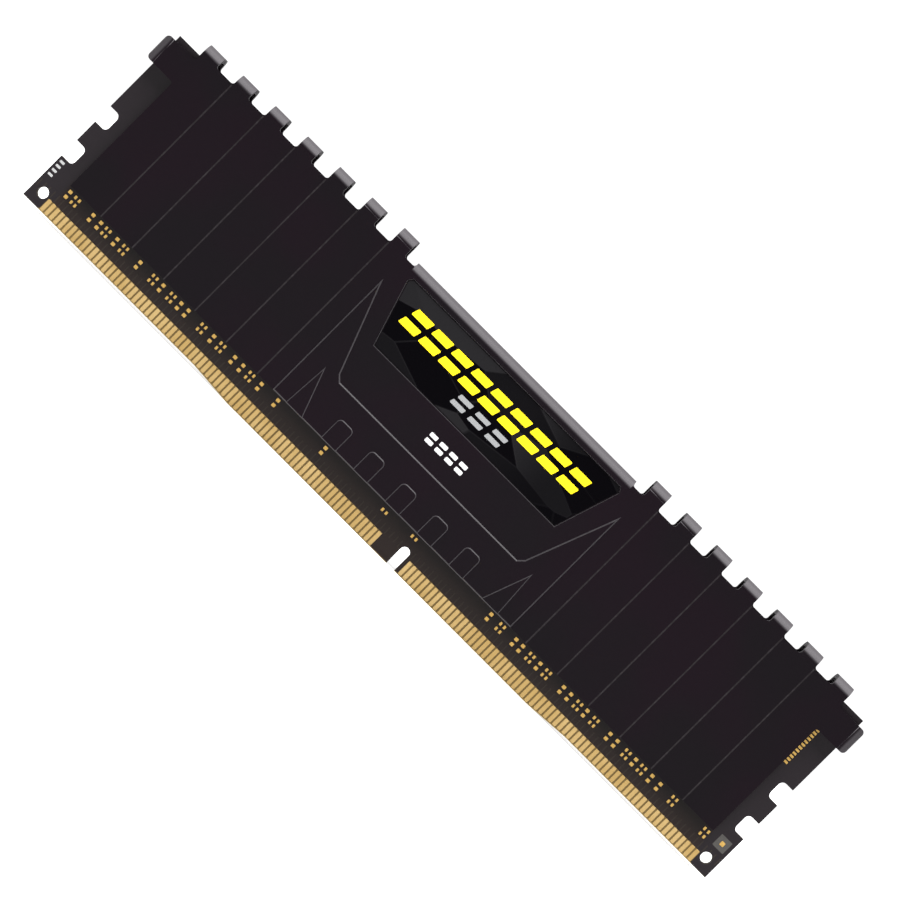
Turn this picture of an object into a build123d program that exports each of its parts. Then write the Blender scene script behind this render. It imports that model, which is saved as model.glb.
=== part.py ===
"""Desktop memory module: a slotted edge-connector board with eight memory chips behind it, held
between two stamped aluminium heat spreader halves whose comb teeth roll over the top edge.

Millimetres. X runs along the contact edge with pin 1 at the -X end, +Y points to the rear, +Z up.
The origin is the middle of the contact edge, halfway through the board's thickness.
"""

import os
from math import copysign, radians, tan

from build123d import *

# Board
board_length = 133.35
board_height = 31.25
board_thickness = 1.40
end_rise = 0.50  # how far the two ends of the contact edge stand above its middle
left_rise_length = 33.4  # raised stretch at the pin 1 end
right_rise_length = 27.5
rise_run = 7.0  # length of each slope between raised end and middle
edge_chamfer = 0.12
key_from_left = 72.25
key_width = 1.50
key_depth = 3.60
latch_depth = 2.00
latch_height = 3.00
latch_corner = 0.75
latch_centres = (9.5, 16.1)
corner_hole = 1.70
corner_hole_inset = 1.80
corner_hole_height = 2.55

# Contacts
contact_pitch = 0.85
contact_width = 0.60
contact_top = 2.55
contact_foot = 0.15  # bare board below each contact
contact_inset = 3.35  # board end to the centre of the nearest contact
left_contacts = 77
right_contacts = 67
plating = 0.05

# Bare solder lands on the front, two rows above the contacts
land_rows = (4.40, 5.30)
land_height = 0.54
single_land = 0.60
twin_land = 0.38
twin_pitch = 0.72
single_columns = (
    *(-62.2, -57.7, -56.2, -53.0, -48.5, -44.0, -40.5, -39.1, -34.1, -30.0, -28.4, -24.8),
    *(-21.6, -12.3, 20.1, 25.0, 26.3, 29.7, 34.3, 35.7, 38.9, 43.4, 44.8, 48.4, 51.6, 53.2),
)
twin_columns = (
    *(-60.8, -54.8, -51.4, -45.6, -42.1, -36.1, -32.4, -26.7),
    *(22.3, 28.1, 31.3, 37.4, 40.6, 46.9, 49.9, 56.0, 62.2),
)
lone_twins = ((-0.4, 4.9), (5.1, 5.2))  # one row only, beside the key
end_land_count = 12
end_land_pitch = 0.56
end_land_width = 0.80
end_land_height = 0.36
end_land_inset = 3.575  # board end to the middle of the column
end_land_drop = 3.20  # middle of the column below the wing
fiducial_width = 0.70
fiducial_centre_inset = 1.60
fiducial_height = 5.50

# Memory chips on the rear
chips_per_side = 4
chip_width = 7.5
chip_height = 11.0
chip_body = 0.75
chip_first = 11.0  # board middle to the nearest chip centre
chip_pitch = 13.3
chip_centre_height = 18.6
chip_corner = 0.15
ball_diameter = 0.45
ball_height = 0.25
ball_pitch = 0.80
ball_rows = 13
ball_columns = 3  # in each of the two banks
bank_gap = 3.2  # between the inner columns of the two banks

# Small parts on the rear
config_chip_size = (3.0, 0.75, 2.0)  # each size here is along X, off the board, and along Z
config_chip_height = 11.0
capacitor_size = (1.0, 0.50, 0.5)
capacitor_rows = 5
capacitor_pitch = 2.1
array_size = (2.0, 0.45, 1.3)  # four resistors in one body
array_centre_height = 4.75
arrays_left = 9
arrays_right = 8
array_pitch = 5.9
array_first = 9.6
end_array_count = 4
end_array_pitch = 2.3

# Heat spreader, one stamped half each side
sheet = 0.70
pad_thickness = 0.40  # thermal pad between the chips and the rear half
spreader_inset = 4.075  # board end to the end of the sheet
spreader_bottom = 6.00
spreader_over_board = 0.40  # how far the sheet stands above the board
seam_gap = 0.10  # between the two halves where their teeth meet
tooth_count = 7
tooth_width = 2.78
first_tooth_edge = 26.00  # module middle to the outer edge of the innermost tooth
tooth_rise = 2.85  # the innermost tooth above the top of the sheet
tooth_fall = 0.18  # each tooth is this much lower than its inner neighbour
roll_radius = 1.60  # outside of the rolled-over top
least_inner_roll = 0.20
root_radius = 0.45
root_sink = 0.10  # depth of each flared root below the top of the sheet
bar_half_width = 21.20
bar_rise = 0.77
wing_clearance = 0.53  # board end to the inside of the wing
wing_height = 4.35
wing_drop = 1.30  # top of the wing below the top of the sheet
wing_roll = 1.40
wing_corner = 0.80

# Relief pressed into each half, heights above the outermost part of the face
terrace_rise = 0.07
terrace_bevel = 0.22
cradle_rise = 0.22
boss_rise = 0.16
bevel_angle = 40.0
cradle_outer = 23.10
cradle_drop = 4.15  # tip of each arm below the top of the sheet
cradle_inner = 17.70
cradle_top = 13.20
cradle_elbow = 0.80
cradle_elbow_lean = 0.35  # share of the elbow that is on the arm's side of the corner
boss_count = 5
boss_pitch = 6.18
boss_width = 2.80
boss_top = 9.85
boss_corner = 0.75
spur_apex = (20.10, 13.40)
spur_foot = (17.40, 20.60)

# Badge and label
badge_top_half = 20.90  # where the sides would meet the top edge
badge_bottom_half = 17.60
badge_height = 10.45
badge_drop = 1.20  # top of the badge below the top of the sheet
badge_corner = 0.80
badge_recess = 0.30
badge_thickness = 0.12
badge_gap = 0.12
recess_angle = 20.0

# Thermal pads
pad_margin = 1.2  # how far each pad reaches past the chips

# Worked out from the above
half_board = board_length / 2
board_face = board_thickness / 2
key_x = key_from_left - half_board
chip_back = board_face + ball_height + chip_body
pad_length = 2 * (chip_first + (chips_per_side - 1) * chip_pitch + pad_margin) + chip_width
inner_face = chip_back + pad_thickness
outermost_face = inner_face + sheet
crown_face = outermost_face + (tooth_count - 1) * terrace_rise  # the face between the innermost teeth
cradle_face = crown_face + cradle_rise
module_depth = 2 * (cradle_face + boss_rise)
spreader_half_width = half_board - spreader_inset
spreader_top = board_height + spreader_over_board
tooth_pitch = (spreader_half_width - first_tooth_edge) / (tooth_count - 1)
wing_reach = half_board + wing_clearance + sheet
wing_top = spreader_top - wing_drop
wing_bottom = wing_top - wing_height
cradle_apex = spreader_top - cradle_drop
badge_top = spreader_top - badge_drop
badge_bottom = badge_top - badge_height
near = 0.01  # tolerance for picking edges by where they are

os.makedirs("parts", exist_ok=True)


def edge_height(x):
    """Height of the contact edge at x: raised at both ends, with a slope down to the middle."""
    from_left = x + half_board
    from_right = half_board - x
    beyond = max(left_rise_length + rise_run - from_left, right_rise_length + rise_run - from_right)
    return end_rise * min(1, max(0, beyond / rise_run))


def finish(piece, label):
    """Name a finished piece and write it to its own file."""
    piece.label = label
    export_step(piece, f"parts/{label}.step")


def tooth_outer_edge(k):
    """Outer edge of tooth k, counted outwards from the middle."""
    return first_tooth_edge + k * tooth_pitch


def tooth_face(k):
    """Distance of tooth k's face from the board's middle plane."""
    return outermost_face + (tooth_count - 1 - k) * terrace_rise


def chip_places():
    """Centres of the chips in X, from the pin 1 end."""
    right = [chip_first + i * chip_pitch for i in range(chips_per_side)]
    return [-x for x in reversed(right)] + right


# ---------------------------------------------------------------- circuit board
left_rise_end = left_rise_length - half_board
right_rise_end = half_board - right_rise_length

with BuildPart() as circuit_board:
    with BuildSketch(Plane.XZ):
        with BuildLine():
            Polyline(
                (-half_board, end_rise),
                (left_rise_end, end_rise),
                (left_rise_end + rise_run, 0),
                (right_rise_end - rise_run, 0),
                (right_rise_end, end_rise),
                (half_board, end_rise),
                (half_board, board_height),
                (-half_board, board_height),
                close=True,
            )
        make_face()
        # the key between the two runs of contacts, open at the bottom and round at the top
        with Locations((key_x, (key_depth - key_width / 2) / 2)):
            Rectangle(key_width, key_depth - key_width / 2, mode=Mode.SUBTRACT)
        with Locations((key_x, key_depth - key_width / 2)):
            Circle(key_width / 2, mode=Mode.SUBTRACT)
        # latch notches reach past the end of the board so that they open outwards
        for side in (-1, 1):
            with Locations(*[(side * half_board, z) for z in latch_centres]):
                RectangleRounded(2 * latch_depth, latch_height, latch_corner, mode=Mode.SUBTRACT)
            with Locations((side * (half_board - corner_hole_inset), corner_hole_height)):
                Circle(corner_hole / 2, mode=Mode.SUBTRACT)
    extrude(amount=board_face, both=True)
    foot_edges = circuit_board.edges().filter_by_position(Axis.Z, -near, end_rise + near)
    chamfer([e for e in foot_edges if abs(abs(e.center().Y) - board_face) < near], edge_chamfer)

finish(circuit_board.part, "circuit_board")


# ---------------------------------------------------------------- contacts
def contact_run(label, first_x, count, side):
    """One run of flat contacts; side is 1 on the front of the board and -1 on the rear."""
    with BuildPart() as run:
        with BuildSketch(Plane.XZ.offset(side * board_face)):
            for i in range(count):
                x = first_x + i * contact_pitch
                outer_side = x + copysign(contact_width / 2, x)
                foot = edge_height(outer_side) + contact_foot
                with Locations((x, (foot + contact_top) / 2)):
                    Rectangle(contact_width, contact_top - foot)
        extrude(amount=side * plating)
    finish(run.part, label)


left_first = contact_inset - half_board
right_first = half_board - contact_inset - (right_contacts - 1) * contact_pitch
for face_name, face_side in (("front", 1), ("rear", -1)):
    contact_run(f"contacts_{face_name}_left", left_first, left_contacts, face_side)
    contact_run(f"contacts_{face_name}_right", right_first, right_contacts, face_side)

# ---------------------------------------------------------------- bare lands
with BuildPart() as solder_lands:
    with BuildSketch(Plane.XZ.offset(board_face)):
        with Locations(*[(x, z) for x in single_columns for z in land_rows]):
            Rectangle(single_land, land_height)
        twins = [(x, z) for x in twin_columns for z in land_rows] + list(lone_twins)
        for shift in (-twin_pitch / 2, twin_pitch / 2):
            with Locations(*[(x + shift, z) for x, z in twins]):
                Rectangle(twin_land, land_height)
        with Locations((half_board - fiducial_centre_inset, fiducial_height)):
            Rectangle(fiducial_width, fiducial_width)
    extrude(amount=plating)

finish(solder_lands.part, "solder_lands_front")

with BuildPart() as end_lands:
    with BuildSketch(Plane.XZ.offset(board_face)):
        with Locations((half_board - end_land_inset, wing_bottom - end_land_drop)):
            with GridLocations(1, end_land_pitch, 1, end_land_count):
                Rectangle(end_land_width, end_land_height)
    extrude(amount=plating)

finish(end_lands.part, "termination_lands_front")

# ---------------------------------------------------------------- memory chips
for number, chip_x in enumerate(chip_places(), start=1):
    with BuildPart() as memory_chip:
        with BuildSketch(Plane.XZ.offset(-board_face - ball_height)):
            with Locations((chip_x, chip_centre_height)):
                Rectangle(chip_width, chip_height)
        extrude(amount=-chip_body)
        chamfer(memory_chip.faces().sort_by(Axis.Y)[-1].edges(), chip_corner)
    finish(memory_chip.part, f"memory_chip_{number}")

bank_centre = (bank_gap + (ball_columns - 1) * ball_pitch) / 2
with BuildPart() as solder_balls:
    with BuildSketch(Plane.XZ.offset(-board_face)):
        for chip_x in chip_places():
            with Locations(*[(chip_x + s * bank_centre, chip_centre_height) for s in (-1, 1)]):
                with GridLocations(ball_pitch, ball_pitch, ball_columns, ball_rows):
                    Circle(ball_diameter / 2)
    extrude(amount=-ball_height)

finish(solder_balls.part, "solder_balls")

# ---------------------------------------------------------------- small rear components
with BuildPart() as configuration_chip:
    with BuildSketch(Plane.XZ.offset(-board_face)):
        with Locations((0, config_chip_height)):
            Rectangle(config_chip_size[0], config_chip_size[2])
    extrude(amount=-config_chip_size[1])
    chamfer(configuration_chip.faces().sort_by(Axis.Y)[-1].edges(), chip_corner)

finish(configuration_chip.part, "configuration_chip")

# capacitors stand in columns midway between neighbouring chips
places = chip_places()
column_places = [(a + b) / 2 for a, b in zip(places, places[1:])]
with BuildPart() as capacitors:
    with BuildSketch(Plane.XZ.offset(-board_face)):
        with Locations(*[(x, chip_centre_height) for x in column_places]):
            with GridLocations(1, capacitor_pitch, 1, capacitor_rows):
                Rectangle(capacitor_size[0], capacitor_size[2])
    extrude(amount=-capacitor_size[1])

finish(capacitors.part, "decoupling_capacitors")


def array_row(label, first_x, count):
    """A row of four-resistor arrays just above the rear contacts."""
    with BuildPart() as row:
        with BuildSketch(Plane.XZ.offset(-board_face)):
            with Locations(*[(first_x + i * array_pitch, array_centre_height) for i in range(count)]):
                Rectangle(array_size[0], array_size[2])
        extrude(amount=-array_size[1])
    finish(row.part, label)


array_row("data_resistors_left", -array_first - (arrays_left - 1) * array_pitch, arrays_left)
array_row("data_resistors_right", array_first, arrays_right)

with BuildPart() as termination_resistors:
    with BuildSketch(Plane.XZ.offset(-board_face)):
        with Locations((spreader_half_width - array_size[2], chip_centre_height)):
            with GridLocations(1, end_array_pitch, 1, end_array_count):
                Rectangle(array_size[2], array_size[0])
    extrude(amount=-array_size[1])

finish(termination_resistors.part, "termination_resistors")


# ---------------------------------------------------------------- heat spreader
def rolled_tab(x_low, x_high, face, top, roots):
    """A tab that rises in line with the sheet and rolls over to the seam, its foot flared at the roots."""
    inner_roll = max(roll_radius - (face - inner_face), least_inner_roll)
    tab_foot = spreader_top - roll_radius
    with BuildPart() as tab:
        with BuildSketch(Plane.YZ.offset(x_low - 2 * root_radius)):
            with BuildLine():
                outer = FilletPolyline(
                    (-face, tab_foot),
                    (-face, top),
                    (-seam_gap / 2, top),
                    radius=roll_radius,
                )
                inner = FilletPolyline(
                    (-inner_face, tab_foot),
                    (-inner_face, top - sheet),
                    (-seam_gap / 2, top - sheet),
                    radius=inner_roll,
                )
                Line(outer @ 0, inner @ 0)
                Line(outer @ 1, inner @ 1)
            make_face()
        extrude(amount=x_high - x_low + 4 * root_radius)
        with BuildSketch(Plane.XZ) as outline:
            with Locations(((x_low + x_high) / 2, (tab_foot + top) / 2)):
                Rectangle(x_high - x_low, top - tab_foot)
            with Locations(*[(x, spreader_top - root_sink / 2) for x in roots]):
                Rectangle(4 * root_radius, root_sink)
            level = outline.vertices().filter_by_position(Axis.Y, spreader_top - near, spreader_top + near)
            fillet([v for v in level if min(abs(v.X - x) for x in roots) < near], root_radius)
        extrude(amount=module_depth, mode=Mode.INTERSECT)
    return tab.part


def badge_outline(gap=0.0):
    """Trapezoid with clipped top corners, smaller by gap all round, added to the sketch being built."""
    side_lean = (badge_top_half - badge_bottom_half) / badge_height
    clip_foot = badge_top_half - badge_corner * side_lean
    with BuildLine() as outline:
        Polyline(
            (badge_bottom_half, badge_bottom),
            (clip_foot, badge_top - badge_corner),
            (badge_top_half - badge_corner, badge_top),
            (badge_corner - badge_top_half, badge_top),
            (-clip_foot, badge_top - badge_corner),
            (-badge_bottom_half, badge_bottom),
            close=True,
        )
    make_face(outline.edges())
    if gap:
        offset(amount=-gap, kind=Kind.INTERSECTION, mode=Mode.REPLACE)


with BuildPart() as wing:
    with BuildSketch(Plane.XY.offset(wing_bottom)):
        with BuildLine():
            outer = FilletPolyline(
                (spreader_half_width - sheet, -outermost_face),
                (wing_reach, -outermost_face),
                (wing_reach, -seam_gap / 2),
                radius=wing_roll,
            )
            inner = FilletPolyline(
                (spreader_half_width - sheet, -inner_face),
                (wing_reach - sheet, -inner_face),
                (wing_reach - sheet, -seam_gap / 2),
                radius=wing_roll - sheet,
            )
            Line(outer @ 0, inner @ 0)
            Line(outer @ 1, inner @ 1)
        make_face()
    extrude(amount=wing_height)
    # round the two outer corners of the tab: the blank reaches as far again beyond its inner end
    blank_length = 2 * (wing_reach - spreader_half_width + sheet)
    with BuildSketch(Plane.XZ):
        with Locations((wing_reach - blank_length / 2, (wing_bottom + wing_top) / 2)):
            RectangleRounded(blank_length, wing_height, wing_corner)
    extrude(amount=module_depth, mode=Mode.INTERSECT)

with BuildPart() as heat_spreader_front:
    # terraced sheet: each tooth and the gap inward of it stands a little prouder than the last
    right_profile = [(spreader_half_width, -outermost_face)]
    for k in range(tooth_count - 2, -1, -1):
        right_profile.append((tooth_outer_edge(k) + terrace_bevel, -tooth_face(k + 1)))
        right_profile.append((tooth_outer_edge(k), -tooth_face(k)))
    left_profile = [(-x, y) for x, y in reversed(right_profile)]
    with BuildSketch(Plane.XY.offset(spreader_bottom)):
        with BuildLine():
            Polyline(
                (spreader_half_width, -inner_face),
                *right_profile,
                *left_profile,
                (-spreader_half_width, -inner_face),
                close=True,
            )
        make_face()
    extrude(amount=spreader_top - spreader_bottom)
    # between the teeth the sheet stops short, and the wide bar carries on from it
    with BuildSketch(Plane.XZ):
        with Locations((0, spreader_top - roll_radius / 2)):
            Rectangle(2 * bar_half_width, roll_radius)
    extrude(amount=module_depth, mode=Mode.SUBTRACT)
    # rolled teeth and the wide rolled bar between them
    for k in range(tooth_count):
        outer_edge = tooth_outer_edge(k)
        inner_edge = outer_edge - tooth_width
        # the outermost tooth is flush with the end of the sheet, so only its inner root is flared
        roots = (inner_edge, outer_edge) if k < tooth_count - 1 else (inner_edge,)
        tooth_top = spreader_top + tooth_rise - k * tooth_fall
        tooth = rolled_tab(inner_edge, outer_edge, tooth_face(k), tooth_top, roots)
        add(tooth)
        mirror(tooth, about=Plane.YZ)
    bar_ends = (-bar_half_width, bar_half_width)
    add(rolled_tab(*bar_ends, crown_face, spreader_top + bar_rise, bar_ends))
    # wings that wrap round the ends of the board
    add(wing.part)
    mirror(wing.part, about=Plane.YZ)
    upright = heat_spreader_front.edges().filter_by(Axis.Y)
    joins = upright.filter_by_position(Axis.Z, wing_bottom - near, wing_top + near)
    fillet([e for e in joins if abs(abs(e.center().X) - spreader_half_width) < near], root_radius)
    # raised cradle round the lower half of the plain middle panel
    arm_foot = cradle_inner + cradle_elbow * cradle_elbow_lean
    panel_corner = arm_foot - cradle_elbow
    with BuildSketch(Plane.XZ.offset(crown_face)):
        with BuildLine():
            Polyline(
                (-cradle_outer, spreader_bottom),
                (-cradle_outer, cradle_apex),
                (-arm_foot, cradle_top + cradle_elbow),
                (-panel_corner, cradle_top),
                (panel_corner, cradle_top),
                (arm_foot, cradle_top + cradle_elbow),
                (cradle_outer, cradle_apex),
                (cradle_outer, spreader_bottom),
                close=True,
            )
        make_face()
    extrude(amount=cradle_rise, taper=bevel_angle)
    # five round-topped bosses and two spurs, open at the bottom edge
    with BuildSketch(Plane.XZ.offset(cradle_face)) as bosses:
        with Locations((0, (spreader_bottom + boss_top) / 2)):
            with GridLocations(boss_pitch, 1, boss_count, 1):
                Rectangle(boss_width, boss_top - spreader_bottom)
        fillet(bosses.vertices().group_by(Axis.Y)[-1], boss_corner)
    extrude(amount=boss_rise, taper=bevel_angle)
    for side in (-1, 1):
        with BuildSketch(Plane.XZ.offset(cradle_face)):
            with BuildLine():
                Polyline(
                    (side * spur_apex[0], spur_apex[1]),
                    (side * spur_foot[0], spreader_bottom),
                    (side * spur_foot[1], spreader_bottom),
                    close=True,
                )
            make_face()
        extrude(amount=boss_rise, taper=bevel_angle)
    # shallow recess for the badge
    with BuildSketch(Plane.XZ.offset(crown_face)):
        badge_outline()
    extrude(amount=-badge_recess, taper=recess_angle, mode=Mode.SUBTRACT)

finish(heat_spreader_front.part, "heat_spreader_front")

with BuildPart() as heat_spreader_rear:
    mirror(heat_spreader_front.part, about=Plane.XZ)

finish(heat_spreader_rear.part, "heat_spreader_rear")


def badge(label, side):
    """A thin plate lying on the floor of a recess; side is 1 on the front and -1 on the rear."""
    with BuildPart() as plate:
        with BuildSketch(Plane.XZ.offset(side * (crown_face - badge_recess))):
            badge_outline(badge_gap + badge_recess * tan(radians(recess_angle)))
        extrude(amount=side * badge_thickness)
    finish(plate.part, label)


badge("badge_front", 1)
badge("label_rear", -1)


# ---------------------------------------------------------------- thermal pads
def thermal_pad(label, from_y, to_y, side):
    """A soft pad over the stretch that the chips take up, between two distances off the middle plane."""
    with BuildPart() as pad:
        with BuildSketch(Plane.XZ.offset(side * from_y)):
            with Locations((0, chip_centre_height)):
                Rectangle(pad_length, chip_height + 2 * pad_margin)
        extrude(amount=side * (to_y - from_y))
    finish(pad.part, label)


thermal_pad("thermal_pad_front", board_face, inner_face, 1)
thermal_pad("thermal_pad_rear", chip_back, inner_face, -1)
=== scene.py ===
"""Looks of the memory module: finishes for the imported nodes, and the fine pieces that stand in for some.

Metres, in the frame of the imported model: X along the contact edge, -Y out of the front, +Z up.
Sizes below are in millimetres, and MM turns them into metres on their way into the scene.
"""

import math

import bmesh
import bpy
from mathutils import Matrix, Vector


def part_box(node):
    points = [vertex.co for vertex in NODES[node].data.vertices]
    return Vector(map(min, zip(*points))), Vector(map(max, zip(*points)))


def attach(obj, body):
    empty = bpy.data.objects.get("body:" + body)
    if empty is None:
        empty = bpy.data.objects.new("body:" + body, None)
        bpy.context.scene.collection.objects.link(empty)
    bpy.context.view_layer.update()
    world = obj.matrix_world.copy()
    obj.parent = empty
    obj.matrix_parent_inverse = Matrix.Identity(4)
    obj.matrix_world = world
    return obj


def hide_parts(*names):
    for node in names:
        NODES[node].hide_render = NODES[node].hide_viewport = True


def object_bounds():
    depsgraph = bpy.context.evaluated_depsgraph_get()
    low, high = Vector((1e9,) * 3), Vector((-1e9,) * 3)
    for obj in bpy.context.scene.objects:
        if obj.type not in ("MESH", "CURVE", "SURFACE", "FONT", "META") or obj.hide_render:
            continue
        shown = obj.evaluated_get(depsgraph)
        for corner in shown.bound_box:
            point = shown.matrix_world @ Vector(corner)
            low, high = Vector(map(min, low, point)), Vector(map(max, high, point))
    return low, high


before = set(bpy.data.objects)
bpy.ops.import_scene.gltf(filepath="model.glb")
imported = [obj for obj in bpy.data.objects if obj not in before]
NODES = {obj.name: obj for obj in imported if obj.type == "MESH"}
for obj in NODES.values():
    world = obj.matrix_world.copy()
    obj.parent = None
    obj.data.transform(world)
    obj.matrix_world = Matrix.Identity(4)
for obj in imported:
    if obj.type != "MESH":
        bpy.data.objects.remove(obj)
cad_low, cad_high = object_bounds()

MM = 0.001

# How far the highest relief stands forward of the crown, the flat face between the innermost teeth
RELIEF_RISE = 0.38

# Faces that things lie on, and where the contacts end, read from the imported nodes
BOARD_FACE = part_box("circuit_board")[1].y / MM
CROWN_FACE = -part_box("heat_spreader_front")[0].y / MM - RELIEF_RISE
BADGE_FACE = -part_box("badge_front")[0].y / MM
LABEL_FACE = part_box("label_rear")[1].y / MM
CONTACT_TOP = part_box("contacts_front_left")[1].z / MM
KEY_SIDES = (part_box("contacts_front_left")[1].x / MM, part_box("contacts_front_right")[0].x / MM)

# From one contact to the next
CONTACT_PITCH = 0.85

# The relief lies on the sheet's flat, this far from the middle either way and up to this height
SHEET_HALF = 62.61
RELIEF_TOP = 30.65

# A wing rolls back round the end of the board beyond this
WING_ROLL_START = 66.3

# Thickness of a printed mark
INK = 0.02

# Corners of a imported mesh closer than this, in metres, are one corner
ONE_CORNER = 1e-6


# ---------------------------------------------------------------- nodes
class Socket:
    """An output socket that takes part in arithmetic: each operator adds its Math node."""

    def __init__(self, graph, link):
        self.graph = graph
        self.link = link

    def also(self, output):
        """Another output of the same node."""
        return Socket(self.graph, self.link.node.outputs[output])

    def math(self, operation, *values):
        return self.graph.node("ShaderNodeMath", {"operation": operation}, dict(enumerate(values)))

    def __add__(self, other):
        return self.math("ADD", self, other)

    def __radd__(self, other):
        return self.math("ADD", other, self)

    def __sub__(self, other):
        return self.math("SUBTRACT", self, other)

    def __rsub__(self, other):
        return self.math("SUBTRACT", other, self)

    def __mul__(self, other):
        return self.math("MULTIPLY", self, other)

    def __rmul__(self, other):
        return self.math("MULTIPLY", other, self)

    def __mod__(self, other):
        return self.math("FLOORED_MODULO", self, other)

    def __gt__(self, other):
        return self.math("GREATER_THAN", self, other)

    def __lt__(self, other):
        return self.math("LESS_THAN", self, other)

    def abs(self):
        return self.math("ABSOLUTE", self)

    def soft_step(self, low, high):
        """0 below low, 1 above high, and a smooth rise between; falls instead where low is above high."""
        settings = {"interpolation_type": "SMOOTHSTEP"}
        if low < high:
            return self.graph.node("ShaderNodeMapRange", settings, {0: self, 1: low, 2: high})
        return 1 - self.graph.node("ShaderNodeMapRange", settings, {0: self, 1: high, 2: low})


class Graph:
    """A node tree that is built by one method."""

    def __init__(self, tree):
        self.tree = tree
        tree.nodes.clear()

    def node(self, kind, settings=None, inputs=None, output=0):
        """Adds a node: its settings first, then its sockets' values or links; returns one output."""
        made = self.tree.nodes.new(kind)
        for name, value in (settings or {}).items():
            setattr(made, name, value)
        for key, value in (inputs or {}).items():
            socket = made.inputs[key]
            for item in value if isinstance(value, list) else [value]:
                if isinstance(item, Socket):
                    self.tree.links.new(item.link, socket)
                else:
                    socket.default_value = item
        return Socket(self, made.outputs[output]) if made.outputs else None


class Paint(Graph):
    """A material's graph, with its shape's own coordinates in millimetres."""

    def __init__(self, name):
        self.material = bpy.data.materials.new(name)
        self.material.use_nodes = True
        super().__init__(self.material.node_tree)
        place = self.node("ShaderNodeTexCoord", output="Object")
        self.place = self.node("ShaderNodeVectorMath", {"operation": "SCALE"}, {0: place, "Scale": 1 / MM})
        self.x = self.node("ShaderNodeSeparateXYZ", None, {0: self.place})
        self.y = self.x.also(1)
        self.z = self.x.also(2)

    def noise(self, scale, detail=2.0, rough=0.5, stretch=None):
        """Noise between 0 and 1, scale cycles to a millimetre."""
        place = self.place
        if stretch:
            place = self.node("ShaderNodeMapping", None, {"Vector": place, "Scale": stretch})
        inputs = {"Vector": place, "Scale": scale, "Detail": detail, "Roughness": rough}
        return self.node("ShaderNodeTexNoise", None, inputs)

    def blend(self, share, first, second):
        """first where share is 0, second where it is 1; both are colours."""
        return self.node("ShaderNodeMix", {"data_type": "RGBA"}, {0: share, 6: first, 7: second}, output=2)

    def facing(self):
        """1 where the surface looks straight to the front or the rear, 0 where it looks sideways or up."""
        turn = self.node("ShaderNodeNewGeometry", output="Normal")
        return self.node("ShaderNodeSeparateXYZ", None, {0: turn}, output=1).abs()

    def bump(self, height):
        """A normal that follows height, given in millimetres."""
        return self.node("ShaderNodeBump", None, {"Height": height, "Strength": 1.0, "Distance": MM})

    def finish(self, **sockets):
        """Ends the graph in one Principled shader; an underscore in a name is a space."""
        inputs = {name.replace("_", " "): value for name, value in sockets.items()}
        shader = self.node("ShaderNodeBsdfPrincipled", None, inputs)
        self.node("ShaderNodeOutputMaterial", None, {"Surface": shader})
        return self.material


def grey(value, warm=0.0):
    """An opaque colour near grey, with a little more red and less blue where warm is above 0."""
    return (value * (1 + warm), value, value * (1 - warm), 1.0)


# ---------------------------------------------------------------- finishes
def anodised_sheet():
    """Black anodised aluminium with a blasted surface's fine matt grain, and a painted highlight that makes
    it paler where it is bent.
    """
    paint = Paint("anodised_sheet")
    grain = paint.noise(7.0, 3.0, 0.6)
    cloud = paint.noise(0.06, 2.0)
    violet, green = (0.0046, 0.0020, 0.0040, 1), (0.0036, 0.0024, 0.0036, 1)
    flat = paint.blend(cloud.soft_step(0.35, 0.65), violet, green)
    # the painted highlight on the wings is only half as strong as on the teeth and the bar
    on_wing = paint.x.abs().soft_step(WING_ROLL_START, WING_ROLL_START + 0.7)
    # painted highlight: the base colour pales where the surface turns from the front onto a bend
    bend_highlight = paint.facing().soft_step(0.998, 0.92) * (1 - 0.5 * on_wing)
    return paint.finish(
        Base_Color=paint.blend(bend_highlight, flat, (0.068, 0.063, 0.068, 1)),
        Roughness=0.36 + 0.04 * cloud + 0.05 * grain,
        Specular_IOR_Level=0.07,
        Normal=paint.bump(grain * 0.004),
    )


def anodised_edge():
    """Bevels and cut edges of the stamped sheet: a rubbed tone that varies at random, and a painted
    highlight that makes the steeper faces paler.
    """
    paint = Paint("anodised_edge")
    rub = paint.noise(1.6, 4.0, 0.7)
    steep_highlight = paint.facing().soft_step(0.94, 0.75)
    shallow = paint.blend(rub.soft_step(0.40, 0.70), (0.005, 0.003, 0.004, 1), (0.014, 0.011, 0.013, 1))
    return paint.finish(
        # painted highlight: faces turned away from the front are painted paler
        Base_Color=paint.blend(steep_highlight * (0.4 + rub), shallow, (0.036, 0.033, 0.036, 1)),
        Roughness=0.30 + 0.12 * rub,
        Specular_IOR_Level=0.22,
        Normal=paint.bump(rub * 0.003),
    )


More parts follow.
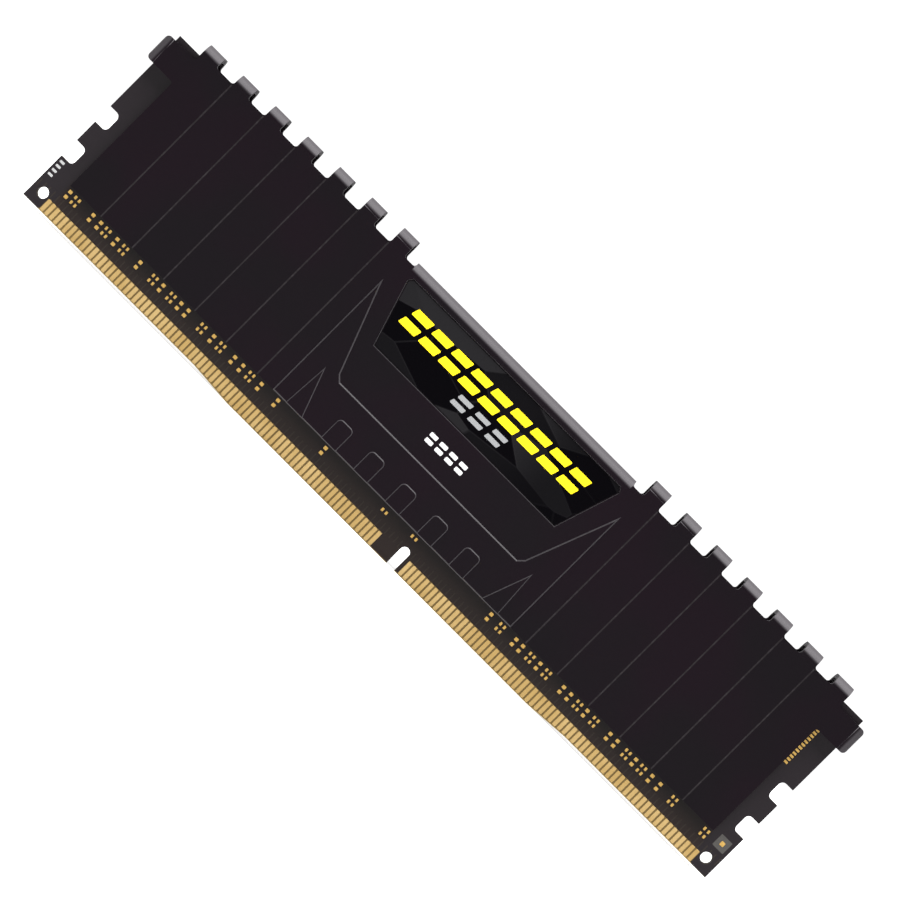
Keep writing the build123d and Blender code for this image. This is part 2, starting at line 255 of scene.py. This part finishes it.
def solder_mask():
    """Black mask over copper on the two faces, and bare glass laminate round the cut edges."""
    contact_zone_half = 63.7
    foot_half = 63.9
    foot_top = 0.70
    track_shift = 0.375
    track_top = 3.9
    ply = 0.23
    paint = Paint("solder_mask")
    face = paint.y.abs() > BOARD_FACE - 0.01
    above = paint.z > CONTACT_TOP + 0.15
    # a narrow track climbs just left of each contact
    across = ((paint.x + track_shift) % CONTACT_PITCH - CONTACT_PITCH / 2).abs()
    climbing = across.soft_step(0.11, 0.07) * above * (paint.z < track_top)
    weave = paint.noise(1.2, 1.0, 0.5)
    cells = {"Vector": paint.place, "Scale": 0.62, "Randomness": 0.85}
    to_via = paint.node("ShaderNodeTexVoronoi", {"feature": "F1"}, cells)
    under_sheet = (paint.z > 6.3) * (paint.x.abs() < SHEET_HALF)
    copper = climbing + to_via.soft_step(0.20, 0.15) * under_sheet
    between_ends = paint.x.abs().soft_step(63.2, 62.4)
    low_down = paint.z.soft_step(11.0, 5.0) * between_ends
    warm = paint.blend(low_down, (0.0086, 0.0060, 0.0078, 1), (0.0120, 0.0068, 0.0056, 1))
    # painted shade: the mask darkens upwards to the sheet, which starts at 6 mm and shades it
    sheet_shade = paint.z.soft_step(3.6, 5.9) * between_ends
    shaded_coat = paint.blend(sheet_shade, warm, (0.0030, 0.0010, 0.0010, 1))
    mask = paint.blend(copper * 0.6, shaded_coat, (0.0220, 0.0165, 0.0120, 1))
    # the laminate between the contacts carries no mask
    between_runs = (paint.x > KEY_SIDES[0]) * (paint.x < KEY_SIDES[1])
    zone = (paint.z < CONTACT_TOP) * (paint.x.abs() < contact_zone_half) * (1 - between_runs)
    skin = paint.blend(zone, mask, (0.120, 0.078, 0.024, 1))
    plies = ((paint.y % ply) - ply / 2).abs().soft_step(0.03, 0.015)
    sawn = paint.blend(plies, (0.045, 0.038, 0.022, 1), (0.085, 0.052, 0.030, 1))
    # the chamfered foot of the contact edge is fresh pale glass
    foot = (paint.z < foot_top) * (paint.x.abs() < foot_half)
    laminate = paint.blend(foot, sawn, (0.36, 0.27, 0.12, 1))
    fibre = paint.noise(9.0, 2.0, 0.6, (0.3, 1, 0.3))
    height = face * (copper * 0.012 + weave * 0.003) + (1 - face) * fibre * 0.01
    return paint.finish(
        Base_Color=paint.blend(face, laminate, skin),
        Roughness=0.34 + 0.06 * weave + 0.35 * (1 - face),
        Specular_IOR_Level=0.17,
        Normal=paint.bump(height),
    )


def gold_plating():
    """Hard gold plating, with the faint drag marks that a socket leaves on the contacts."""
    paint = Paint("gold_plating")
    drag = paint.noise(5.0, 3.0, 0.6, (1, 1, 0.12))
    patch = paint.noise(0.22, 2.0)
    return paint.finish(
        Base_Color=paint.blend(patch.soft_step(0.3, 0.7), (0.43, 0.285, 0.105, 1), (0.50, 0.350, 0.150, 1)),
        Metallic=1.0,
        Roughness=0.26 + 0.14 * drag,
        Normal=paint.bump(drag * 0.005),
    )


def land_gold():
    """Thin immersion gold on the bare lands, redder and duller than the contacts."""
    paint = Paint("land_gold")
    dimple = paint.noise(4.0, 2.0)
    return paint.finish(
        Base_Color=paint.blend(dimple, (0.42, 0.25, 0.060, 1), (0.62, 0.41, 0.13, 1)),
        Metallic=1.0,
        Roughness=0.34 + 0.12 * dimple,
        Normal=paint.bump(dimple * 0.012),
    )


def badge_gloss():
    """Deep gloss black foil with faint angular facets that meet in thin lines."""
    paint = Paint("badge_gloss")
    stretch = (0.085, 0.0, 0.21)
    place = paint.node("ShaderNodeMapping", None, {"Vector": paint.place, "Scale": stretch})
    cells = {"Vector": place, "Scale": 1.0, "Randomness": 1.0}
    facet = paint.node("ShaderNodeTexVoronoi", {"feature": "F1"}, cells, output="Color")
    tone = paint.node("ShaderNodeSeparateColor", None, {0: facet})
    to_edge = paint.node("ShaderNodeTexVoronoi", {"feature": "DISTANCE_TO_EDGE"}, cells)
    edge = to_edge.soft_step(0.018, 0.006)
    dark_end = 0.30 + 0.70 * paint.x.soft_step(13.0, 3.0)
    glow = (tone.soft_step(0.35, 1.0) + 0.35 * edge) * dark_end
    scuff = paint.noise(2.0, 4.0, 0.7)
    return paint.finish(
        Base_Color=paint.blend(glow, (0.0006, 0.0004, 0.0009, 1), (0.0110, 0.0105, 0.0115, 1)),
        Roughness=0.22 + 0.10 * tone + 0.03 * scuff,
        Specular_IOR_Level=0.03,
        Normal=paint.bump(scuff * 0.001),
    )


def ink(name, colour):
    """Screen-printed ink, a little uneven."""
    paint = Paint(name)
    speck = paint.noise(12.0, 2.0)
    thin = tuple(channel * 0.9 for channel in colour[:3]) + (1,)
    return paint.finish(
        Base_Color=paint.blend(speck.soft_step(0.3, 0.7), thin, colour),
        Roughness=0.45 + 0.08 * speck,
        Specular_IOR_Level=0.3,
        Normal=paint.bump(speck * 0.002),
    )


def label_film():
    """Satin white label stock with a soft fibre."""
    paint = Paint("label_film")
    fibre = paint.noise(3.0, 5.0, 0.7)
    return paint.finish(
        Base_Color=paint.blend(fibre, grey(0.58, 0.01), grey(0.66, 0.01)),
        Roughness=0.45 + 0.1 * fibre,
        Normal=paint.bump(fibre * 0.003),
    )


def chip_resin():
    """Moulded black epoxy, matt with fine filler."""
    paint = Paint("chip_resin")
    filler = paint.noise(10.0, 4.0, 0.7)
    return paint.finish(
        Base_Color=paint.blend(filler, grey(0.014), grey(0.024)),
        Roughness=0.62 + 0.12 * filler,
        Normal=paint.bump(filler * 0.006),
    )


def bright_tin():
    """Tinned terminals and solder."""
    paint = Paint("bright_tin")
    ripple = paint.noise(6.0, 3.0)
    return paint.finish(
        Base_Color=paint.blend(ripple, grey(0.55, 0.01), grey(0.70, 0.01)),
        Metallic=1.0,
        Roughness=0.24 + 0.2 * ripple,
        Normal=paint.bump(ripple * 0.01),
    )


def fired_ceramic():
    """Tan capacitor ceramic."""
    paint = Paint("fired_ceramic")
    grit = paint.noise(9.0, 3.0)
    return paint.finish(
        Base_Color=paint.blend(grit, (0.30, 0.20, 0.11, 1), (0.42, 0.30, 0.19, 1)),
        Roughness=0.5 + 0.1 * grit,
        Normal=paint.bump(grit * 0.003),
    )


def resistor_glaze():
    """Black glaze over the resistor arrays."""
    paint = Paint("resistor_glaze")
    flow = paint.noise(1.5, 2.0)
    return paint.finish(
        Base_Color=paint.blend(flow, grey(0.008), grey(0.016)),
        Roughness=0.22 + 0.1 * flow,
        Normal=paint.bump(flow * 0.01),
    )


def thermal_gel():
    """Soft grey silicone with its filler showing."""
    paint = Paint("thermal_gel")
    filler = paint.noise(4.0, 5.0, 0.7)
    return paint.finish(
        Base_Color=paint.blend(filler.soft_step(0.3, 0.7), grey(0.20, -0.02), grey(0.32, -0.02)),
        Roughness=0.75 + 0.1 * filler,
        Normal=paint.bump(filler * 0.03),
    )


def bare_laminate():
    """The mask-free window round the sighting mark."""
    paint = Paint("bare_laminate")
    weave = paint.noise(2.5, 1.0)
    return paint.finish(
        Base_Color=paint.blend(weave, grey(0.022, 0.10), grey(0.036, 0.10)),
        Roughness=0.5 + 0.1 * weave,
        Normal=paint.bump(weave * 0.004),
    )


# ---------------------------------------------------------------- making pieces
def add_piece(name, mesh, replaced=None):
    """Puts a finished mesh in the scene, riding on the module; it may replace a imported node."""
    piece = bpy.data.objects.new(name, mesh)
    bpy.context.scene.collection.objects.link(piece)
    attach(piece, "root")
    if replaced:
        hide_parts(replaced)


def baked(name, mesh, modifier_kind, setup):
    """The plain mesh that one modifier makes of mesh; setup fills in the modifier."""
    holder = bpy.data.objects.new(name + "_holder", mesh)
    bpy.context.scene.collection.objects.link(holder)
    setup(holder.modifiers.new("make", modifier_kind))
    ready = holder.evaluated_get(bpy.context.evaluated_depsgraph_get())
    done = bpy.data.meshes.new_from_object(ready)
    bpy.data.objects.remove(holder)
    done.name = name
    return done


def tree_with(name, sizes):
    """A geometry tree that takes Points, a number for each size, Turn and Finish, and gives Shapes."""
    tree = bpy.data.node_groups.new(name, "GeometryNodeTree")
    face = tree.interface
    face.new_socket("Points", in_out="INPUT", socket_type="NodeSocketGeometry")
    for size in sizes:
        face.new_socket(size, in_out="INPUT", socket_type="NodeSocketFloat")
    face.new_socket("Turn", in_out="INPUT", socket_type="NodeSocketVector")
    face.new_socket("Finish", in_out="INPUT", socket_type="NodeSocketMaterial")
    face.new_socket("Shapes", in_out="OUTPUT", socket_type="NodeSocketGeometry")
    graph = Graph(tree)
    return graph, graph.node("NodeGroupInput")


def stand_on_points(graph, given, shape):
    """Ends a tree: shape on every point, stretched as the point says, realised and coated."""
    as_vector = {"data_type": "FLOAT_VECTOR"}
    stretch = graph.node("GeometryNodeInputNamedAttribute", as_vector, {"Name": "stretch"})
    inputs = {"Points": given, "Instance": shape, "Rotation": given.also("Turn"), "Scale": stretch}
    placed = graph.node("GeometryNodeInstanceOnPoints", None, inputs)
    real = graph.node("GeometryNodeRealizeInstances", None, {0: placed})
    inputs = {"Geometry": real, "Material": given.also("Finish")}
    coated = graph.node("GeometryNodeSetMaterial", None, inputs)
    graph.node("NodeGroupOutput", None, {0: coated})
    return graph.tree


def plates_tree():
    """Stands a round-cornered plate, slanted and tapered as asked, on every point of a mesh."""
    sizes = ("Width", "Height", "Thickness", "Corner", "Slant", "Taper")
    graph, given = tree_with("round_plates", sizes)
    width, height, thickness, corner, slant, taper = (given.also(size) for size in sizes)
    inputs = {"Width": width, "Height": height, "Offset": slant}
    outline = graph.node("GeometryNodeCurvePrimitiveQuadrilateral", {"mode": "PARALLELOGRAM"}, inputs)
    inputs = {"Curve": outline, "Count": 3, "Radius": corner, "Limit Radius": True}
    rounded = graph.node("GeometryNodeFilletCurve", {"mode": "POLY"}, inputs)
    base = graph.node("GeometryNodeFillCurve", {"mode": "NGONS"}, {0: rounded})
    walls = graph.node("GeometryNodeExtrudeMesh", None, {"Mesh": base, "Offset Scale": thickness})
    inputs = {0: walls, "Selection": walls.also("Top"), "Scale": taper}
    tapered = graph.node("GeometryNodeScaleElements", None, inputs)
    under = graph.node("GeometryNodeFlipFaces", None, {0: base})
    whole = graph.node("GeometryNodeJoinGeometry", None, {0: [tapered, under]})
    closed = graph.node("GeometryNodeMergeByDistance", None, {"Geometry": whole, "Distance": 1e-7})
    return stand_on_points(graph, given, closed)


def balls_tree():
    """Stands a ball, squashed as the point says, on every point of a mesh."""
    graph, given = tree_with("solder_balls", ("Radius",))
    inputs = {"Segments": 10, "Rings": 6, "Radius": given.also("Radius")}
    return stand_on_points(graph, given, graph.node("GeometryNodeMeshUVSphere", None, inputs))


def grow(tree, name, places, slot, finish, rear=False, stretch=None, replaced=None, **sizes):
    """Runs a tree on places and adds the plain mesh that comes out; places and sizes are in mm."""
    points = bpy.data.meshes.new(name + "_points")
    points.from_pydata([Vector(place) * MM for place in places], [], [])
    attribute = points.attributes.new("stretch", "FLOAT_VECTOR", "POINT")
    for item, value in zip(attribute.data, stretch or [(1, 1, 1)] * len(places)):
        item.vector = value
    values = {size.capitalize(): value * MM for size, value in sizes.items()}
    values["Taper"] = sizes.get("taper", 1.0)
    values["Turn"] = (math.pi / 2, 0, math.pi if rear else 0)
    values["Finish"] = finish

    def setup(modifier):
        modifier.node_group = tree
        for item in tree.interface.items_tree:
            if item.in_out == "INPUT" and item.name in values:
                modifier[item.identifier] = values[item.name]

    add_piece(name, baked(name, points, "NODES", setup), replaced)


def islands(node):
    """The middle and the size, in mm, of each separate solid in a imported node."""
    work = bmesh.new()
    work.from_mesh(NODES[node].data)
    bmesh.ops.remove_doubles(work, verts=work.verts, dist=ONE_CORNER)
    waiting = set(work.verts)
    found = []
    while waiting:
        reached = [waiting.pop()]
        corners = []
        while reached:
            vertex = reached.pop()
            corners.append(vertex.co / MM)
            for edge in vertex.link_edges:
                other = edge.other_vert(vertex)
                if other in waiting:
                    waiting.remove(other)
                    reached.append(other)
        low = Vector(min(corner[axis] for corner in corners) for axis in range(3))
        high = Vector(max(corner[axis] for corner in corners) for axis in range(3))
        found.append(((low + high) / 2, high - low))
    work.free()
    return sorted(found, key=lambda item: (item[0].x, item[0].z))


def foot_of(middle, size):
    """The point of a solid's middle line that touches the board."""
    return (middle.x, middle.y - math.copysign(size.y / 2, middle.y), middle.z)


def rounded_plates(tree, node, slot, finish, corner, taper):
    """Puts rounded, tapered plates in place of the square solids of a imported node."""
    found = islands(node)
    width = max(size.x for _, size in found)
    height = max(size.z for _, size in found)
    places = [foot_of(middle, size) for middle, size in found]
    stretch = [(size.x / width, size.z / height, 1) for _, size in found]
    thickness = found[0][1].y
    sizes = {"width": width, "height": height, "thickness": thickness, "corner": corner, "taper": taper}
    rear = found[0][0].y > 0
    grow(tree, node + "_plates", places, slot, finish, rear, stretch, node, **sizes)


def chips_with_terminals(tree, node, slot, body_finish, tin, per_side):
    """Small components with tinned terminals: several along each long side, or one on each end."""
    body_inset = 0.06
    body_share = 0.96
    terminal_reach = 0.24
    terminal_share = 0.64 if per_side > 1 else 1.0
    found = islands(node)
    size = found[0][1]
    along = 0 if (size.x > size.z) == (per_side > 1) else 2
    across = 2 - along
    body = Vector(size)
    body[across] -= 2 * body_inset
    body.y *= body_share
    places = [foot_of(middle, size) for middle, _ in found]
    sizes = {"width": body.x, "height": body.z, "thickness": body.y, "corner": 0.05, "taper": 0.97}
    grow(tree, node + "_bodies", places, slot, body_finish, True, None, node, **sizes)
    pitch = size[along] / per_side
    terminal = Vector((0, size.y, 0))
    terminal[along] = pitch * terminal_share
    terminal[across] = terminal_reach
    spots = []
    for place in places:
        for index in range(per_side):
            for side in (-1, 1):
                spot = Vector(place)
                spot[along] += (index + 0.5) * pitch - size[along] / 2
                spot[across] += side * (size[across] - terminal_reach) / 2
                spots.append(spot)
    sizes = {"width": terminal.x, "height": terminal.z, "thickness": size.y, "corner": 0.04, "taper": 0.95}
    grow(tree, node + "_terminals", spots, "solder", tin, True, None, None, **sizes)


def solder_ball_grid(tin):
    """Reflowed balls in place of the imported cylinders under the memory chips."""
    found = islands("solder_balls")
    width, height = found[0][1].x, found[0][1].y
    places = [middle for middle, _ in found]
    stretch = [(1, 1, height / width)] * len(found)
    sizes = {"radius": width / 2}
    grow(balls_tree(), "reflowed_balls", places, "solder", tin, True, stretch, "solder_balls", **sizes)


# ---------------------------------------------------------------- heat spreader
# Width of the small bevel along a cut edge, and the shortest edge that gets one, in mm
EDGE_WIDTH = 0.12
SHORTEST_CUT = 0.5

# Angles in degrees: triangles that meet at less than FLAT_ANGLE become one face, an edge stays sharp
# above RELIEF_ANGLE on the flat and above FOLD_ANGLE off it, above CUT_ANGLE it is a cut edge, and
# a face on the flat that tilts by more than BEVEL_TILT is a pressed bevel
FLAT_ANGLE = 0.5
RELIEF_ANGLE = 5.0
FOLD_ANGLE = 30.0
CUT_ANGLE = 75.0
BEVEL_TILT = 8.0


def on_flat(middle):
    """Whether a place in mm lies on the sheet's flat, clear of the rolls and the wings."""
    return middle.z < RELIEF_TOP and abs(middle.x) < SHEET_HALF


def edged_half(node, finishes):
    """A copy of one stamped half: cut edges broken by a small bevel, pressed bevels in the edge finish."""
    mesh = NODES[node].data.copy()
    mesh.materials.clear()
    for finish in finishes:
        mesh.materials.append(finish)
    work = bmesh.new()
    work.from_mesh(mesh)
    bmesh.ops.remove_doubles(work, verts=work.verts, dist=ONE_CORNER)
    flat = math.radians(FLAT_ANGLE)
    bmesh.ops.dissolve_limit(work, angle_limit=flat, verts=work.verts, edges=work.edges)
    weight = work.edges.layers.float.new("bevel_weight_edge")
    for edge in work.edges:
        middle = (edge.verts[0].co + edge.verts[1].co) / 2 / MM
        fold = math.degrees(edge.calc_face_angle())
        edge.smooth = fold < (RELIEF_ANGLE if on_flat(middle) else FOLD_ANGLE)
        cut = fold > CUT_ANGLE and edge.calc_length() > SHORTEST_CUT * MM
        edge[weight] = 1.0 if cut else 0.0
    for face in work.faces:
        middle = face.calc_center_median() / MM
        tilted = abs(face.normal.y) < math.cos(math.radians(BEVEL_TILT))
        face.smooth = True
        face.material_index = 1 if on_flat(middle) and tilted else 0
    work.to_mesh(mesh)
    work.free()

    def break_edges(bevel):
        bevel.limit_method = "WEIGHT"
        bevel.width = EDGE_WIDTH * MM
        bevel.segments = 3
        bevel.material = 1

    def keep_flats_flat(weighting):
        weighting.mode = "FACE_AREA"
        weighting.weight = 100
        weighting.keep_sharp = True

    name = node + "_sheet"
    broken = baked(name + "_broken", mesh, "BEVEL", break_edges)
    add_piece(name, baked(name, broken, "WEIGHTED_NORMAL", keep_flats_flat), node)


# ---------------------------------------------------------------- print
def bar_rows(tree, name, face, slot, finish, span, count, rows, bar_height, share, lean):
    """Rows of bars over span; share of each pitch is inked, and lean is the X gained for each mm up."""
    pitch = (span[1] - span[0]) / count
    middle = sum(rows) / len(rows)
    places = []
    for row in rows:
        start = span[0] + lean * (row - middle)
        places += [(start + pitch * (index + 0.5), face, row) for index in range(count)]
    sizes = {"width": pitch * share, "height": bar_height, "slant": lean * bar_height}
    grow(tree, name, places, slot, finish, thickness=INK, corner=0.14, **sizes)


def front_print(tree):
    """Plain bars where the badge, the sheet below it and the board's end carry their print."""
    on_badge = (-BADGE_FACE, "badge_gloss")
    on_sheet = (-CROWN_FACE, "anodised_sheet")
    yellow = ink("yellow_ink", (0.92, 0.70, 0.0, 1))
    silver = ink("silver_ink", grey(0.25, -0.02))
    white = ink("white_ink", grey(0.62))
    pale = ink("pale_ink", grey(0.35))
    bar_rows(
        tree, "badge_long_bars", *on_badge, yellow,
        span=(-17.5, 16.9), count=9, rows=(25.4, 27.4), bar_height=1.20, share=0.80, lean=0.30,
    )
    bar_rows(
        tree, "badge_short_bars", *on_badge, silver,
        span=(-5.0, 5.0), count=3, rows=(22.35, 23.55), bar_height=0.70, share=0.72, lean=0.30,
    )
    bar_rows(
        tree, "sheet_bars", *on_sheet, white,
        span=(-3.8, 3.8), count=4, rows=(16.1, 17.1), bar_height=0.62, share=0.68, lean=0.0,
    )
    ticks = [(-65.9, -BOARD_FACE, 5.05 + 0.78 * index) for index in range(4)]
    sizes = {"width": 0.80, "height": 0.36, "thickness": INK, "corner": 0.1}
    grow(tree, "board_ticks", ticks, "solder_mask", pale, **sizes)


def rear_print(tree):
    """Plain lines and a ruled block on the rear label."""
    black = ink("black_ink", grey(0.02))
    # the lines start at one X, and each has its own end and height
    line_start = 1.0
    line_ends = ((15.0, 28.3), (11.5, 26.3), (13.6, 24.3))
    for number, (line_end, height) in enumerate(line_ends, 1):
        places = [((line_start + line_end) / 2, LABEL_FACE, height)]
        sizes = {"width": line_end - line_start, "height": 0.7, "thickness": INK, "corner": 0.2}
        grow(tree, f"label_line_{number}", places, "label_film", black, True, **sizes)
    rules = [(-15.5 + 0.55 * index, LABEL_FACE, 25.6) for index in range(24) if index % 5 != 3]
    widths = [(0.6 + 0.4 * (index % 3), 1, 1) for index in range(len(rules))]
    sizes = {"width": 0.30, "height": 5.0, "thickness": INK, "corner": 0.02}
    grow(tree, "label_rules", rules, "label_film", black, True, widths, **sizes)


def sighting_window(tree):
    """The square window in the mask round the sighting mark, which is the rightmost land."""
    mark, size = islands("solder_lands_front")[-1]
    sizes = {"width": 2.0, "height": 2.0, "thickness": INK, "corner": 0.1}
    grow(tree, "sighting_window", [foot_of(mark, size)], "solder_mask", bare_laminate(), **sizes)


# ---------------------------------------------------------------- stage
# Angles in degrees, lengths in mm; VIEW_WIDTH is what the picture spans at the module
VIEW_ROLL = 45.09
VIEW_RISE = 1.6
VIEW_DISTANCE = 466.0
VIEW_WIDTH = 124.16
VIEW_AIM = (0.0, -0.7, 17.28)
SENSOR = 36.0


def aim_camera():
    """A long lens nearly level with the module, turned so that the contact edge runs down to the right."""
    rise = math.radians(VIEW_RISE)
    roll = math.radians(VIEW_ROLL)
    back = Vector((0, -math.cos(rise), math.sin(rise)))
    level_up = Vector((0, math.sin(rise), math.cos(rise)))
    level_right = Vector((1, 0, 0))
    right = level_right * math.cos(roll) + level_up * math.sin(roll)
    up = level_up * math.cos(roll) - level_right * math.sin(roll)
    data = bpy.data.cameras.new("camera")
    data.sensor_width = SENSOR
    data.lens = SENSOR * VIEW_DISTANCE / VIEW_WIDTH
    data.clip_start = 0.01
    data.clip_end = 20
    camera = bpy.data.objects.new("camera", data)
    turn = Matrix((right, up, back)).transposed().to_4x4()
    place = Vector(VIEW_AIM) * MM + back * VIEW_DISTANCE * MM
    camera.matrix_world = Matrix.Translation(place) @ turn
    bpy.context.scene.collection.objects.link(camera)
    bpy.context.scene.camera = camera


def soft_light(name, place, size, power):
    """A square softbox aimed at the middle of the module; its place and size are in metres."""
    data = bpy.data.lights.new(name, "AREA")
    data.size = size
    data.energy = power
    light = bpy.data.objects.new(name, data)
    light.location = place
    middle = (cad_low + cad_high) / 2
    light.rotation_euler = (middle - Vector(place)).to_track_quat("-Z", "Y").to_euler()
    bpy.context.scene.collection.objects.link(light)


def light_stage():
    """A pale glowing floor under a large softbox, in a dim room that the lens sees as white."""
    world = bpy.data.worlds.new("surround")
    bpy.context.scene.world = world
    world.use_nodes = True
    graph = Graph(world.node_tree)
    seen = graph.node("ShaderNodeLightPath")
    inputs = {"Color": grey(1.0), "Strength": 0.30 + 0.80 * seen}
    shade = graph.node("ShaderNodeBackground", None, inputs)
    graph.node("ShaderNodeOutputWorld", None, {"Surface": shade})

    mesh = bpy.data.meshes.new("floor")
    reach = 600 * MM
    corners = [(-reach, -reach, 0), (reach, -reach, 0), (reach, reach, 0), (-reach, reach, 0)]
    mesh.from_pydata(corners, [], [(0, 1, 2, 3)])
    paint = Paint("floor_paper")
    paper = paint.noise(0.02, 2.0)
    mesh.materials.append(paint.finish(
        Base_Color=paint.blend(paper, grey(0.50), grey(0.54)),
        Roughness=0.9,
        Specular_IOR_Level=0.0,
        Emission_Color=grey(1.0),
        Emission_Strength=0.72,
    ))
    floor = bpy.data.objects.new("floor", mesh)
    bpy.context.scene.collection.objects.link(floor)
    soft_light("light_top", (0.0, -0.63, 1.58), 1.6, 96.0)
    soft_light("light_left", (-0.86, -0.34, 0.32), 0.6, 0.8)
    soft_light("light_right", (0.86, -0.34, 0.32), 0.6, 0.8)
    bpy.context.scene.view_settings.view_transform = "Standard"


# ---------------------------------------------------------------- assembly
def coat(finish, *nodes):
    """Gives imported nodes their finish."""
    for node in nodes:
        materials = NODES[node].data.materials
        materials.clear()
        materials.append(finish)


def main():
    plates = plates_tree()
    tin = bright_tin()
    halves = (anodised_sheet(), anodised_edge())
    edged_half("heat_spreader_front", halves)
    edged_half("heat_spreader_rear", halves)
    plating = gold_plating()
    for face in ("front", "rear"):
        for run in ("left", "right"):
            rounded_plates(plates, f"contacts_{face}_{run}", "gold", plating, 0.12, 0.96)
    lands = land_gold()
    rounded_plates(plates, "solder_lands_front", "gold", lands, 0.12, 0.92)
    rounded_plates(plates, "termination_lands_front", "gold", lands, 0.08, 0.94)
    solder_ball_grid(tin)
    chips_with_terminals(plates, "decoupling_capacitors", "capacitor_ceramic", fired_ceramic(), tin, 1)
    glaze = resistor_glaze()
    for node in ("data_resistors_left", "data_resistors_right", "termination_resistors"):
        chips_with_terminals(plates, node, "resistor_glaze", glaze, tin, 4)
    coat(solder_mask(), "circuit_board")
    coat(badge_gloss(), "badge_front")
    coat(label_film(), "label_rear")
    memory_chips = [node for node in NODES if node.startswith("memory_chip_")]
    coat(chip_resin(), "configuration_chip", *memory_chips)
    coat(thermal_gel(), "thermal_pad_front", "thermal_pad_rear")
    sighting_window(plates)
    front_print(plates)
    rear_print(plates)
    light_stage()
    aim_camera()


main()
